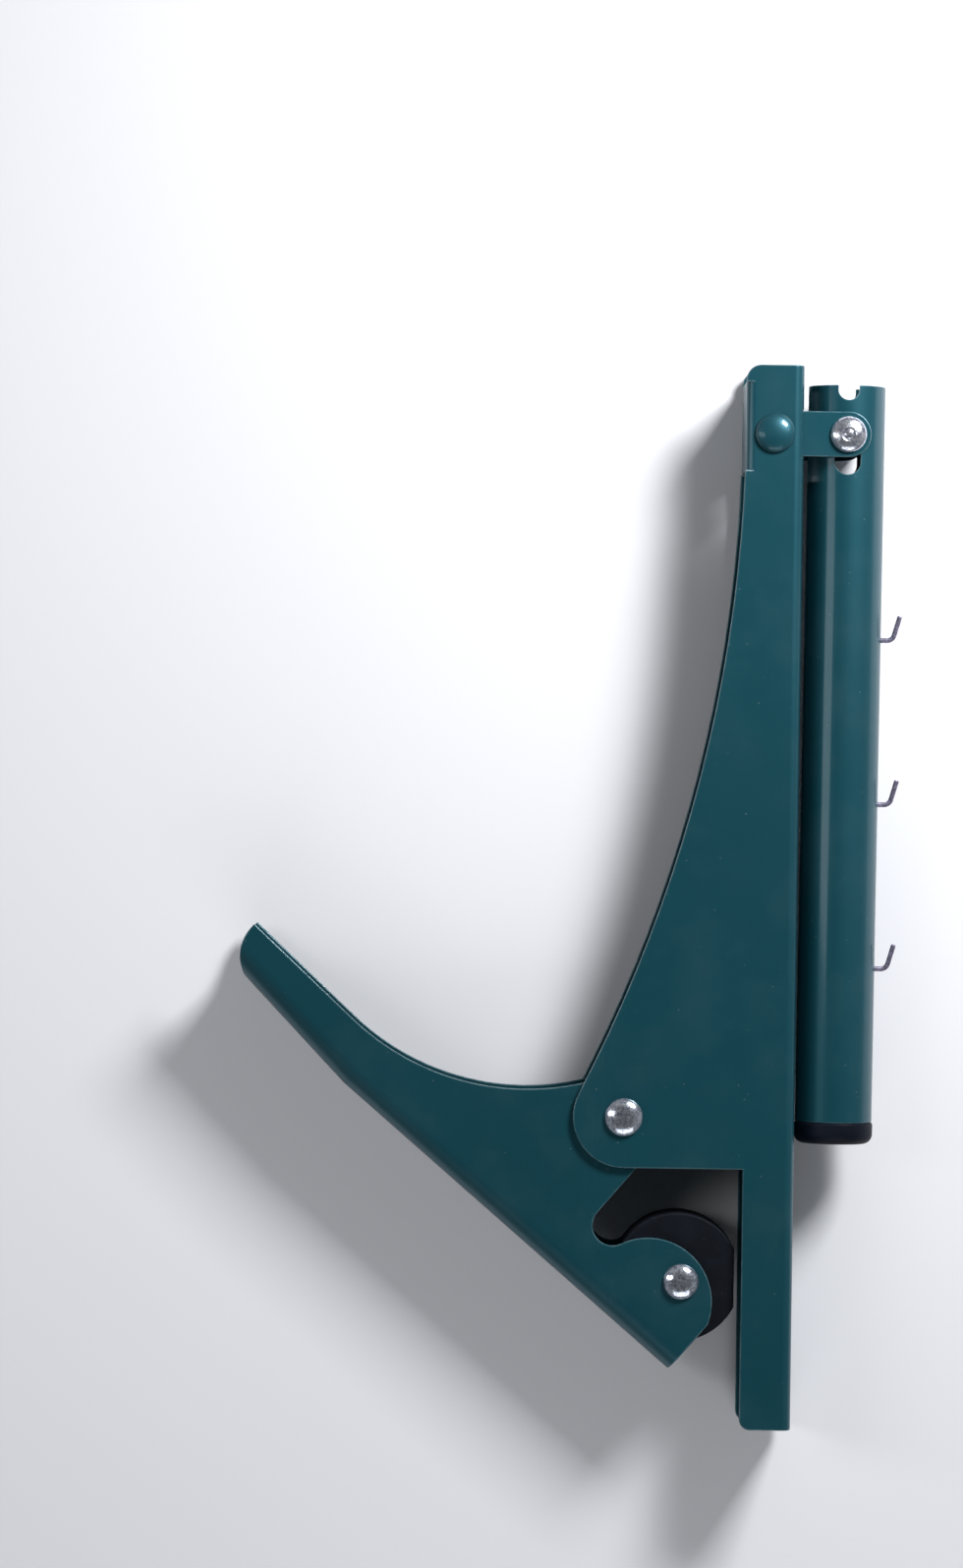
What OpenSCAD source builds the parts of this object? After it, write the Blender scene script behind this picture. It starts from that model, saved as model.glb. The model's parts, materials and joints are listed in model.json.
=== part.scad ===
// Table tennis net clamp: two nested pressed-steel channels on one pivot, a
// torsion spring between them, a swivelling rubber jaw pad, and a net post
// that folds along the main body or stands up and locks in its web.
//
// Millimetres. The pieces are drawn in the clamp's own frame: the pivot is the
// Z axis, +Y runs along the main body to its handle end and +X points at the
// post. placed() then moves them so that the origin is under the middle of the
// clamp as it lies flat on its side.

/* [Sheet steel] */
// Thickness of the pressed sheet
sheet_t = 1.2; // [1:0.1:1.4]
// Outer radius of the channels' bends
bend_r = 2; // [1.6:0.1:2.6]
// Gap on each side between the two nested channels
nest_gap = 0.15; // [0.1:0.05:0.3]

/* [Main body] */
// Pivot axis to the outer face of the web
reach = 34.5; // [32:0.5:38]
// Length of the jaw arm, from the edge stop to its tip
arm_len = 52.6; // [46:0.2:60]
// Depth of the jaw arm, from the web to its free edges
arm_d = 10.4; // [8:0.2:12]
// Radius of the tab round the pivot; the edge stop is level with it
tab_r = 10.3; // [9.5:0.1:11.5]
// Radius of the hollow belly edge
belly_r = 295; // [270:5:340]
// Depth of the body at its handle end
end_d = 11.75; // [10.8:0.05:13]
// Link rivet to the handle end
end_past_link = 13.8; // [12:0.2:18]
// Corner radius at the handle end
end_corner_r = 3.1; // [2:0.1:3.8]
// Corner radius at the arm's tip
arm_corner_r = 2.2; // [1:0.1:4]
// Length of the flanges that close the handle end
flange_len = 18; // [12:0.5:19]
// Seam between the two closing flanges
flange_seam = 0.8; // [0.4:0.1:2]

/* [Lever] */
// Pivot axis to the outer face of the lever's web
lever_back = 32.45; // [30:0.25:35]
// Outer radius of the lever's bends, wide because the fingers pull on them
lever_bend_r = 4.5; // [3:0.1:4.8]
// Angle of the lever's web to the edge stop, at rest
lever_angle = 40.6; // [38:0.2:44]
// Pivot to the jaw end, along the web
jaw_len = 40.6; // [38:0.2:44]
// Pivot to the start of the handle's inward bend
kink_at = 47; // [40:1:60]
// Angle of that bend
kink_angle = 5.9; // [2:0.1:9]
// Pivot to the tip of the handle, along the web
grip_len = 81.8; // [78:0.5:90]
// Depth of the handle
grip_d = 11.1; // [10.5:0.05:13]
// Radius of the rounded tip
nose_r = 8.7; // [7:0.1:9.5]
// Radius of the lug round the pivot
lug_r = 8.85; // [8:0.05:9.5]
// Radius of the arched inner edge
arch_r = 51; // [47:0.5:55]
// Slope of the handle's straight inner edge, away from the web, degrees
grip_slope = 2.5; // [0.5:0.1:4]
// Jaw lobe: its centre along the web, from the pivot
lobe_x = 28.4; // [27.6:0.1:29.2]
// Jaw lobe: its centre from the web's outer face
lobe_y = 7.6; // [6.6:0.1:8.6]
// Jaw lobe: its radius
lobe_r = 13; // [12.6:0.1:13.4]
// Radius of the hooked recess behind the lobe
recess_r = 4; // [3.7:0.1:4.4]

/* [Jaw pad] */
// Jaw rivet along the web, from the pivot
jaw_x = 30.7; // [29:0.1:32]
// Jaw rivet from the web's outer face
jaw_y = 15.1; // [15:0.1:16]
// Radius of the rubber pad
pad_r = 13; // [11.5:0.1:13.1]
// How far the pad's bore is off its centre, towards the flat
pad_off = 0.8; // [0:0.1:0.9]
// How far the pad's bore is off its centre, along the flat
pad_lift = 0.8; // [0:0.1:1]
// Bore to the pad's flat face
pad_flat = 10.75; // [9.5:0.05:11]
// Gap between the pad and the lever's side plates
pad_gap = 0.3; // [0.2:0.05:0.8]
// Rounding of the pad's rims
pad_rim_r = 0.5; // [0.3:0.1:1.2]
// Gap between the pad's back and the lever's bends
pad_back_gap = 0.2; // [0.1:0.05:0.4]

/* [Rivets] */
// Shank of the pivot rivet
pivot_d = 4.8; // [4:0.1:5.2]
// Head of the pivot rivet
pivot_head_d = 7.7; // [7:0.1:9]
// Shank of the jaw rivet
jaw_d = 4; // [3.5:0.1:4.5]
// Head of the jaw rivet
jaw_head_d = 7.2; // [6.4:0.1:8]
// Shank of the post rivet
post_pin_d = 5; // [4.4:0.1:5.2]
// Head of the post rivet
post_head_d = 7.4; // [7:0.1:8.4]
// Shank of the painted link rivet
link_pin_d = 3.8; // [3.4:0.1:4.2]
// Dome of the painted link rivet
link_head_d = 8; // [6.5:0.1:8.5]
// Button at the link rivet's other end
link_button_d = 5; // [4.6:0.1:6]
// Height of a rivet's head
head_h = 1.9; // [1.5:0.1:2.4]

/* [Spring] */
// Spring wire
wire_d = 2.2; // [1.8:0.1:2.4]
// Whole turns of the coil, before the part turn between its legs
whole_turns = 4; // [3:1:4]
// Radial gap between the coil and the pivot rivet
arbor_gap = 0.6; // [0.3:0.1:1]
// Gap between the coil's ends and the lever's side plates
coil_side_gap = 0.8; // [0.5:0.1:1.2]
// Height above the pivot where the first leg meets the main web
body_leg_at = 44; // [30:1:60]
// Distance from the pivot where the second leg meets the lever's web
lever_leg_at = 36; // [28:1:42]
// Length of each leg's foot along the web
leg_foot = 8; // [4:0.5:12]

/* [Post] */
// Outer diameter of the post tube
tube_d = 15.6; // [14:0.1:16.4]
// Wall of the post tube
tube_wall = 1.2; // [0.9:0.1:1.5]
// Length of the post tube
tube_len = 149.4; // [140:0.2:160]
// Pivot to the link's rivets, along the body
link_y = 138.5; // [132:0.5:146]
// Centre distance of the link's two rivets
link_pitch = 14.9; // [14.5:0.1:15.6]
// Height of the link's ears
ear_w = 9.2; // [8.4:0.1:10]
// Gap between the folded post and the web
post_gap = 1.3; // [1.1:0.1:2]
// Gap between the folded post's cap and the web, which it leans to
post_rest = 0.3; // [0.2:0.05:0.4]
// How far the post pushes down to lock
push_travel = 5.4; // [5:0.1:6]
// How far the post pulls up past rest
pull_travel = 1.7; // [0.5:0.1:2.5]
// Height of the cap's head
cap_h = 4.4; // [3.6:0.1:6]
// Diameter of the cap's head
cap_d = 16; // [15.6:0.1:17]
// Rounding of the cap's head
cap_r = 2; // [0.8:0.1:3]
// Length of the cap's plug
plug_len = 9; // [6:0.5:14]

/* [Net hooks] */
// Wire of the net hooks
hook_wire_d = 1; // [0.8:0.1:1.4]
// Top of the post to the first hook
hook_first = 35.6; // [25:0.2:45]
// Distance between hooks
hook_pitch = 33.4; // [25:0.2:38]
// How far a hook's elbow stands out from the tube
hook_out = 2.4; // [1.6:0.1:4]
// Length of a hook's finger
hook_len = 5.2; // [3:0.1:8]
// Lean of a hook's finger away from the tube
hook_lean = 16; // [8:1:28]

/* [Hidden] */
$fn = 96;

// Clearances
press_fit = 0.02;
run_fit = 0.08;
ear_clear = 0.5;
link_fit = 0.05;
slot_clear = 0.1;
swing_clear = 0.25;
seat_gap = 0.05;

// Widths, from the tube outwards: tube, link ears, main body, then the lever
ear_in = tube_d / 2 + ear_clear;
ear_out = ear_in + sheet_t;
body_in = ear_out + link_fit;
body_half = body_in + sheet_t;
lever_half = body_in - nest_gap;
lever_in = lever_half - sheet_t;
lever_bend_in = lever_bend_r - sheet_t;
lever_bend_z = lever_half - lever_bend_r;

// Main body
handle_y = link_y + end_past_link;
arm_tip_y = -tab_r - arm_len;
arm_x = reach - arm_d;
end_x = reach - end_d;
belly_x = end_x - belly_r;
belly_y = sqrt(pow(belly_r + tab_r, 2) - pow(belly_x, 2));
belly_dir = [belly_x, belly_y] / norm([belly_x, belly_y]);
flange_top = handle_y - end_corner_r - 0.3;
flange_low = flange_top - flange_len;

// Post: how its foot swings past the link rivet sets where it stands at rest
post_x = reach + post_gap + tube_d / 2;
link_x = post_x - link_pitch;
foot_r = link_pitch - link_pin_d / 2 - swing_clear;
post_out = sqrt(pow(foot_r, 2) - pow(tube_d / 2, 2));
foot_y = link_y + post_out;
slot_near = post_out - pull_travel - post_pin_d / 2 - slot_clear;
slot_far = post_out + push_travel + post_pin_d / 2 + slot_clear;
slot_w = post_pin_d + 2 * slot_clear;
notch_w = link_pin_d + 4 * slot_clear;
notch_d = post_out + push_travel - (link_pitch - link_pin_d / 2) + ear_clear;
window_half = max(sqrt(pow(foot_r, 2) - pow(post_x - reach, 2)), tube_d / 2) + 3 * slot_clear;
cap_top_y = foot_y - tube_len - cap_h;
bore_r = tube_d / 2 - tube_wall;
post_lean = asin(max(0, post_gap - (cap_d - tube_d) / 2 - post_rest) / (link_y - cap_top_y - cap_r));

// Lever, in its own frame: X along the web to the jaw, Y inwards from the web
recess_x = lug_r + recess_r;
recess_y = lobe_y + sqrt(pow(lobe_r + recess_r, 2) - pow(lobe_x - recess_x, 2));
arch_c = [-sqrt(pow(arch_r + lug_r, 2) - pow(grip_d + arch_r - lever_back, 2)), grip_d + arch_r];
arch_dir = (arch_c - [0, lever_back]) / norm(arch_c - [0, lever_back]);
arch_end = arch_c - arch_r * [sin(grip_slope), cos(grip_slope)];
grip_corner = [-grip_len, arch_end[1] + (arch_end[0] + grip_len) * tan(grip_slope)];
nose_x = -grip_len + nose_r;
long = 4 * reach;

// A point of the lever's frame in the clamp's frame
function lever_pt(p) = let (y = p[1] - lever_back)
    [p[0] * cos(lever_angle) + y * sin(lever_angle),
     y * cos(lever_angle) - p[0] * sin(lever_angle)];
jaw_pt = lever_pt([jaw_x, jaw_y]);
nose_pt = lever_pt([nose_x, grip_d]);

// The box of the whole clamp as it lies, for the origin
function post_pt(p) = let (x = p[0] - post_x, y = p[1] - link_y)
    [post_x + x * cos(post_lean) + y * sin(post_lean),
     link_y + y * cos(post_lean) - x * sin(post_lean)];
hook_x = post_x + tube_d / 2 + hook_out;
hook_tip_y = cap_top_y + hook_first + 2 * hook_pitch + hook_len * cos(hook_lean);
hook_tip_x = post_pt([hook_x + hook_len * sin(hook_lean), hook_tip_y])[0] + hook_wire_d / 2;
left_x = nose_pt[0] - nose_r;
mid_x = (left_x + hook_tip_x) / 2;
mid_y = (arm_tip_y + handle_y) / 2;
lift = body_half + head_h;

echo(pivot_m = [-mid_x, -mid_y, lift] / 1000);
echo(jaw_m = [jaw_pt[0] - mid_x, jaw_pt[1] - mid_y, lift] / 1000);
echo(post_m = [post_x - mid_x, link_y - mid_y, lift] / 1000);
echo(shift = [mid_x, mid_y, lift], post_out = post_out, window_half = window_half);
echo(post_lean = post_lean, slide_axis = [sin(post_lean), cos(post_lean), 0]);

module placed() {
    translate([-mid_x, -mid_y, lift]) children();
}

// The post's own pieces, turned on its rivet until the cap is at the web
module leant() {
    placed() translate([post_x, link_y, 0]) rotate([0, 0, -post_lean])
        translate([-post_x, -link_y, 0]) children();
}

// Straight prism with two rounded edges: runs along X, its rounded back at
// y = 0, its depth along +Y, centred on z = 0
module back_block(x0, x1, depth, half, r) {
    translate([x0, 0, 0]) rotate([90, 0, 90]) linear_extrude(x1 - x0) {
        translate([r, -half]) square([depth - r, 2 * half]);
        translate([0, r - half]) square([depth, 2 * (half - r)]);
        for (s = [-1, 1]) translate([r, s * (half - r)]) circle(r);
    }
}

// A domed rivet head on z = 0; the riveting tool leaves a shallow ring in one
module head(d, h, ringed = false) {
    rim = 0.3;
    ball = (pow(d / 2, 2) + pow(h - rim, 2)) / (2 * (h - rim));
    rotate_extrude() difference() {
        intersection() {
            translate([0, h - ball]) circle(ball);
            square([d / 2, h + 1]);
        }
        if (ringed) translate([0.13 * d, h - 0.35]) square([0.08 * d, 1]);
    }
}

// ---- Main body ----

module body_outline() {
    difference() {
        union() {
            polygon([
                [arm_x + arm_corner_r, arm_tip_y],
                [reach, arm_tip_y],
                [reach, handle_y],
                [end_x + end_corner_r, handle_y],
                [end_x, handle_y - end_corner_r],
                [end_x, belly_y],
                belly_dir * tab_r,
                [0, 0],
                [0, -tab_r],
                [arm_x, -tab_r],
                [arm_x, arm_tip_y + arm_corner_r]
            ]);
            circle(tab_r);
            translate([arm_x + arm_corner_r, arm_tip_y + arm_corner_r]) circle(arm_corner_r);
            translate([end_x + end_corner_r, handle_y - end_corner_r]) circle(end_corner_r);
        }
        translate([belly_x, belly_y]) circle(belly_r);
    }
}

// The channel's block, or with an inset its hollow
module body_block(inset) {
    translate([reach - inset, 0, 0]) rotate([0, 0, 90])
        back_block(arm_tip_y - 1, handle_y + 1, long, body_half - inset, bend_r - inset);
}

// The side plates' flanges, folded over the open side at the handle end
module closing_flanges() {
    difference() {
        translate([end_x, 0, 0]) rotate([0, 0, -90])
            back_block(-flange_top, -flange_low, 2 * bend_r, body_half, bend_r);
        translate([end_x + sheet_t, 0, 0]) rotate([0, 0, -90])
            back_block(-flange_top - 1, -flange_low + 1, 3 * bend_r, body_in, bend_r - sheet_t);
        translate([end_x - 1, flange_low - 1, -flange_seam / 2])
            cube([2 * bend_r, flange_len + 2, flange_seam]);
    }
}

module main_body() {
    color("#1c4650") placed() difference() {
        union() {
            difference() {
                intersection() {
                    linear_extrude(2 * body_half + 2, center = true) body_outline();
                    body_block(0);
                }
                body_block(sheet_t);
                translate([end_x - bend_r, flange_low, -body_half - 1])
                    cube([3 * bend_r, flange_len, 2 * body_half + 2]);
            }
            closing_flanges();
        }
        cylinder(h = 3 * body_half, d = pivot_d + 2 * press_fit, center = true);
        translate([link_x, link_y, 0])
            cylinder(h = 3 * body_half, d = link_pin_d + 2 * press_fit, center = true);
        // Window that the post's foot drops through
        translate([reach - bend_r - 1, link_y - window_half, -ear_in])
            cube([bend_r + 2, 2 * window_half, 2 * ear_in]);
        // Slots that the link's ears come out of
        translate([reach - bend_r - 1, link_y - ear_w / 2 - slot_clear, -body_in])
            cube([bend_r + 2, ear_w + 2 * slot_clear, 2 * body_in]);
    }
}

// ---- Link ----

// One pressed U: its base lies on the closing flanges, its ears hold the post
module link_bracket() {
    base_x = end_x + sheet_t + seat_gap;
    color("#23505a") placed() difference() {
        intersection() {
            translate([base_x, link_y, 0]) rotate([0, 0, -90])
                back_block(-ear_w / 2, ear_w / 2, long, ear_out, bend_r - 0.4);
            linear_extrude(3 * body_half, center = true) {
                translate([base_x, link_y - ear_w / 2]) square([post_x - base_x, ear_w]);
                translate([post_x, link_y]) circle(d = ear_w);
            }
        }
        translate([base_x + sheet_t, link_y, 0]) rotate([0, 0, -90])
            back_block(-ear_w, ear_w, long, ear_in, bend_r - 0.4 - sheet_t);
        translate([link_x, link_y, 0])
            cylinder(h = 3 * body_half, d = link_pin_d + 2 * press_fit, center = true);
        translate([post_x, link_y, 0])
            cylinder(h = 3 * body_half, d = post_pin_d + 2 * run_fit, center = true);
    }
}

module link_rivet() {
    color("#1c4650") placed() translate([link_x, link_y, 0]) {
        cylinder(h = 2 * body_half, d = link_pin_d, center = true);
        translate([0, 0, body_half]) head(link_head_d, head_h + 0.1);
        translate([0, 0, -body_half - 0.5]) cylinder(h = 0.5, d = link_button_d);
    }
}

// ---- Pivot ----

module pivot_rivet() {
    color("#c9ccd0") placed() {
        cylinder(h = 2 * body_half, d = pivot_d, center = true);
        translate([0, 0, body_half]) head(pivot_head_d, head_h);
        rotate([180, 0, 0]) translate([0, 0, body_half]) head(pivot_head_d, head_h, true);
    }
}

// Torsion spring, one wire from the main web, round the pivot rivet, to the
// lever's web. It winds tighter when the handles close.
coil_r = pivot_d / 2 + arbor_gap + wire_d / 2;
coil_rise = 2 * (lever_in - coil_side_gap) - wire_d;
wire_sides = 6;
loop_rings = 24;

body_foot = [reach - sheet_t - seat_gap - wire_d / 2, body_leg_at];
// The lever's leg lies in the round of the bend
lever_foot_y = lever_bend_r - sqrt(pow(lever_bend_in - seat_gap - wire_d / 2, 2)
    - pow(max(0, coil_rise / 2 - lever_bend_z), 2));
lever_foot = lever_pt([-lever_leg_at, lever_foot_y]);
lever_foot_end = lever_pt([-lever_leg_at - leg_foot, lever_foot_y]);

coil_start = atan2(body_foot[1], body_foot[0]) - acos(coil_r / norm(body_foot));
coil_end = atan2(lever_foot[1], lever_foot[0]) + acos(coil_r / norm(lever_foot));
part_turn = (coil_start - coil_end + 720) % 360;
coil_sweep = part_turn + 360 * whole_turns;
coil_steps = round(coil_sweep / 360 * loop_rings);

// A smooth corner at p between the straight runs from a and to b
function corner(a, p, b, r, n = 4) = [for (i = [0:n])
    let (t = i / n, s = p + (a - p) / norm(a - p) * r, e = p + (b - p) / norm(b - p) * r)
    pow(1 - t, 2) * s + 2 * t * (1 - t) * p + t * t * e];

function with_z(pts, z) = [for (p = pts) [p[0], p[1], z]];
coil_pts = [for (i = [0:coil_steps]) let (a = coil_start - coil_sweep * i / coil_steps)
    [coil_r * cos(a), coil_r * sin(a), coil_rise * (i / coil_steps - 0.5)]];
coil_in = [coil_pts[0][0], coil_pts[0][1]];
coil_out = [coil_pts[coil_steps][0], coil_pts[coil_steps][1]];
wire_pts = concat(
    with_z([body_foot + [0, leg_foot]], -coil_rise / 2),
    with_z(corner(body_foot + [0, leg_foot], body_foot, coil_in, 3), -coil_rise / 2),
    coil_pts,
    with_z(corner(coil_out, lever_foot, lever_foot_end, 3), coil_rise / 2),
    with_z([lever_foot_end], coil_rise / 2)
);
wire_n = len(wire_pts);

// Direction of the wire at point i, and the ring of points round it
function wire_dir(i) = let (d = wire_pts[min(i + 1, wire_n - 1)] - wire_pts[max(i - 1, 0)])
    d / norm(d);
function wire_ring(i) = let (t = wire_dir(i), s = cross([0, 0, 1], t), n = s / norm(s))
    [for (k = [0:wire_sides - 1]) let (a = 360 * k / wire_sides)
        wire_pts[i] + wire_d / 2 * (cos(a) * n + sin(a) * cross(t, n))];
wire_skin = [for (i = [0:wire_n - 1]) each wire_ring(i)];
wire_faces = concat(
    [for (k = [1:wire_sides - 2]) [0, k, k + 1]],
    [for (i = [0:wire_n - 2], k = [0:wire_sides - 1])
        let (a = i * wire_sides + k, b = i * wire_sides + (k + 1) % wire_sides)
        each [[a, a + wire_sides, b], [b, a + wire_sides, b + wire_sides]]],
    [for (k = [1:wire_sides - 2]) let (e = (wire_n - 1) * wire_sides) [e, e + k + 1, e + k]]
);

// Least gap of the coil to itself, measured between points half a turn apart or more
coil_gap = min([for (i = [0:coil_steps], j = [0:coil_steps])
    if (j > i + loop_rings / 2) norm(coil_pts[j] - coil_pts[i])]) - wire_d;
echo(torsion_spring_least_gap_mm = coil_gap);

module torsion_spring() {
    color("#8f9499") placed() polyhedron(points = wire_skin, faces = wire_faces, convexity = 8);
}

// ---- Lever ----

module lever_outline() {
    // The tip's round starts where it is tangent to the bent part of the web
    tip_x = nose_x - nose_r * sin(kink_angle);
    tip_y = grip_d - nose_r * cos(kink_angle);
    difference() {
        union() {
            polygon([
                [-kink_at, 0],
                [jaw_len, 0],
                [jaw_len, lobe_y],
                [lobe_x, lobe_y],
                [recess_x, recess_y],
                [lug_r, recess_y],
                [lug_r, lever_back],
                [0, lever_back],
                [0, lever_back] + arch_dir * lug_r,
                arch_end,
                grip_corner,
                [-grip_len, grip_d],
                [nose_x, grip_d],
                [tip_x, tip_y]
            ]);
            polygon([[-kink_at, 0], [tip_x, tip_y], [nose_x, grip_d], arch_end]);
            translate([nose_x, grip_d]) intersection() {
                circle(nose_r);
                translate([-nose_r, -nose_r]) square([2 * nose_r, nose_r]);
            }
            translate([0, lever_back]) circle(lug_r);
            intersection() {
                translate([lobe_x, lobe_y]) circle(lobe_r);
                translate([jaw_len - 2 * lobe_r, 0]) square([2 * lobe_r, 3 * lobe_r]);
            }
        }
        translate([recess_x, recess_y]) circle(recess_r);
        translate(arch_c) circle(arch_r);
    }
}

// The lever's block, straight at the jaw and bent inwards at the handle, or
// with an inset its hollow
module lever_block(inset) {
    half = lever_half - inset;
    intersection() {
        translate([0, inset, 0]) back_block(-long, long, long, half, lever_bend_r - inset);
        translate([-kink_at, 0, 0]) rotate([0, 0, -kink_angle]) translate([0, inset, 0])
            back_block(-long, long, long, half, lever_bend_r - inset);
    }
}

module lever() {
    color("#1f4d58") placed() rotate([0, 0, -lever_angle]) translate([0, -lever_back, 0])
        difference() {
            intersection() {
                linear_extrude(2 * lever_half + 2, center = true) lever_outline();
                lever_block(0);
            }
            lever_block(sheet_t);
            translate([0, lever_back, 0])
                cylinder(h = 3 * lever_half, d = pivot_d + 2 * run_fit, center = true);
            translate([jaw_x, jaw_y, 0])
                cylinder(h = 3 * lever_half, d = jaw_d + 2 * press_fit, center = true);
        }
}

module jaw_rivet() {
    color("#c9ccd0") placed() translate([jaw_pt[0], jaw_pt[1], 0]) {
        cylinder(h = 2 * lever_half, d = jaw_d, center = true);
        translate([0, 0, lever_half]) head(jaw_head_d, head_h);
        rotate([180, 0, 0]) translate([0, 0, lever_half]) head(jaw_head_d, head_h, true);
    }
}

// The pad's back is smaller, to turn clear of the lever's bends
pad_half = lever_in - pad_gap;
pad_back_r = jaw_y + pad_rim_r - lever_bend_r + sqrt(max(0,
    pow(lever_bend_in - pad_rim_r - pad_back_gap, 2) - pow(pad_half - pad_rim_r - lever_bend_z, 2)));
pad_front = 29;
pad_shoulder = 6.9;

module pad_disc(r) {
    rotate_extrude() {
        translate([0, -pad_half]) square([r - pad_rim_r, 2 * pad_half]);
        translate([0, pad_rim_r - pad_half]) square([r, 2 * (pad_half - pad_rim_r)]);
        for (s = [-1, 1]) translate([r - pad_rim_r, s * (pad_half - pad_rim_r)])
            intersection() {
                circle(pad_rim_r);
                translate([-pad_rim_r, -pad_rim_r]) square(2 * pad_rim_r);
            }
    }
}

// Rubber disc with one flat, which turns on the jaw rivet to meet the table
module jaw_pad() {
    color("#1e1e28") placed() translate([jaw_pt[0], jaw_pt[1], 0]) difference() {
        intersection() {
            translate([-pad_off, pad_lift, 0]) pad_disc(pad_r);
            union() {
                pad_disc(pad_back_r);
                rotate([0, 0, pad_front]) translate([-pad_shoulder, -2 * pad_r, -lever_half])
                    cube([4 * pad_r, 4 * pad_r, 2 * lever_half]);
            }
        }
        translate([pad_flat, -pad_r, -lever_half]) cube([pad_r, 2 * pad_r, 2 * lever_half]);
        cylinder(h = 3 * lever_half, d = jaw_d + 2 * run_fit, center = true);
    }
}

// ---- Post ----

module post_rivet() {
    grip = ear_out + seat_gap;
    color("#c9ccd0") placed() translate([post_x, link_y, 0]) {
        cylinder(h = 2 * grip, d = post_pin_d, center = true);
        translate([0, 0, grip]) head(post_head_d, head_h, true);
        rotate([180, 0, 0]) translate([0, 0, grip]) head(post_head_d, head_h);
    }
}

// A slot through both walls of the tube, from y0 to y1 below the foot
module wall_slot(w, y0, y1) {
    for (y = [y0 + w / 2, y1 - w / 2])
        translate([post_x, foot_y - y, 0]) cylinder(h = 2 * tube_d, d = w, center = true);
    translate([post_x - w / 2, foot_y - y1 + w / 2, -tube_d])
        cube([w, y1 - y0 - w, 2 * tube_d]);
}

module post_tube() {
    color("#1c4650") leant() difference() {
        translate([post_x, foot_y, 0]) rotate([90, 0, 0]) cylinder(h = tube_len, d = tube_d);
        translate([post_x, foot_y + 1, 0]) rotate([90, 0, 0])
            cylinder(h = tube_len + 2, r = bore_r);
        wall_slot(slot_w, slot_near, slot_far);
        wall_slot(notch_w, -2 * notch_d, notch_d);
        for (i = [0:2]) translate([post_x, hook_y(i), 0]) rotate([0, 90, 0])
            cylinder(h = tube_d, d = hook_wire_d + 2 * press_fit);
    }
}

module post_cap() {
    color("#2d2a3c") leant() translate([post_x, cap_top_y, 0]) rotate([-90, 0, 0])
        rotate_extrude() {
            translate([0, cap_r]) square([cap_d / 2, cap_h - cap_r]);
            square([cap_d / 2 - cap_r, cap_h]);
            translate([cap_d / 2 - cap_r, cap_r]) intersection() {
                circle(cap_r);
                translate([0, -cap_r]) square(cap_r);
            }
            square([bore_r - link_fit, cap_h + plug_len]);
        }
}

// ---- Net hooks ----

function hook_y(i) = cap_top_y + hook_first + i * hook_pitch;

// Bent wire: a swaged tail inside the tube, a foot through its wall, a finger
module net_hook(i) {
    tail_r = 0.9 * hook_wire_d;
    tail_x = sqrt(pow(bore_r, 2) - pow(tail_r, 2)) - seat_gap;
    elbow = tube_d / 2 + hook_out;
    color("#70727c") leant() translate([post_x, hook_y(i), 0]) {
        translate([tail_x - 0.6, 0, 0]) rotate([0, 90, 0]) cylinder(h = 0.6, r = tail_r);
        translate([tail_x - 0.6, 0, 0]) rotate([0, 90, 0])
            cylinder(h = elbow - tail_x + 0.6, d = hook_wire_d);
        translate([elbow, 0, 0]) {
            sphere(d = 1.06 * hook_wire_d);
            rotate([-90, 0, -hook_lean]) cylinder(h = hook_len, d = hook_wire_d);
        }
    }
}

module net_hook_top() {
    net_hook(0);
}

module net_hook_middle() {
    net_hook(1);
}

module net_hook_low() {
    net_hook(2);
}

main_body();
link_bracket();
link_rivet();
pivot_rivet();
torsion_spring();
lever();
jaw_rivet();
jaw_pad();
post_rivet();
post_tube();
post_cap();
net_hook_top();
net_hook_middle();
net_hook_low();
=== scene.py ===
"""Dresses a folding table tennis net clamp over its exact frame.

The frame gives every piece its place. The classes below model what the frame
leaves plain, such as rounded sheet edges, turned rivets, the moulded pad and
cap and the bent wires, and finish each with its own procedural material.
"""

import json
import logging
import math
from collections.abc import Iterator, Sequence
from contextlib import contextmanager
from dataclasses import dataclass, field
from enum import Enum

import bmesh
import bpy
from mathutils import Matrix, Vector
from mathutils.bvhtree import BVHTree


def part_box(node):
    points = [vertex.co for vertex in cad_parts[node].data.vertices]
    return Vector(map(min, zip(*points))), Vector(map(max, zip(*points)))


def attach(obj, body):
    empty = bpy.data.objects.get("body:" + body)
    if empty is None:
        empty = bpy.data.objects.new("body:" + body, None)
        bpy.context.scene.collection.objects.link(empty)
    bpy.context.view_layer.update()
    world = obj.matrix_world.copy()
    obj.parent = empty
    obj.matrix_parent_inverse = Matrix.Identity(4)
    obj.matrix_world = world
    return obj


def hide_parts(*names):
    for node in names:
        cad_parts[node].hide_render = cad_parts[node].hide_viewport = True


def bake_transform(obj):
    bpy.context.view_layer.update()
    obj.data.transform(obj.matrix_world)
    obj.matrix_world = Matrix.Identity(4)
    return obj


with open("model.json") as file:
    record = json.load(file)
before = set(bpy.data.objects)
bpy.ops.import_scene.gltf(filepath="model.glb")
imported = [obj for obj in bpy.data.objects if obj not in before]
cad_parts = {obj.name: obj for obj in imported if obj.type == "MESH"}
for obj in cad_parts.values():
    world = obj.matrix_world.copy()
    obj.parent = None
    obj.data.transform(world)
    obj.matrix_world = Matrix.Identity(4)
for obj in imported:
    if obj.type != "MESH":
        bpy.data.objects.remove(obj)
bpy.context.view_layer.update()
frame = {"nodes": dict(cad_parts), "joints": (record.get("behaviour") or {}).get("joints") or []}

log = logging.getLogger("net_clamp")

MM = 0.001
FUSE = 0.002 * MM
Point = Sequence[float]
Colour = tuple[float, float, float]
Object = bpy.types.Object
Socket = bpy.types.NodeSocket


# ---------------- layout


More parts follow.
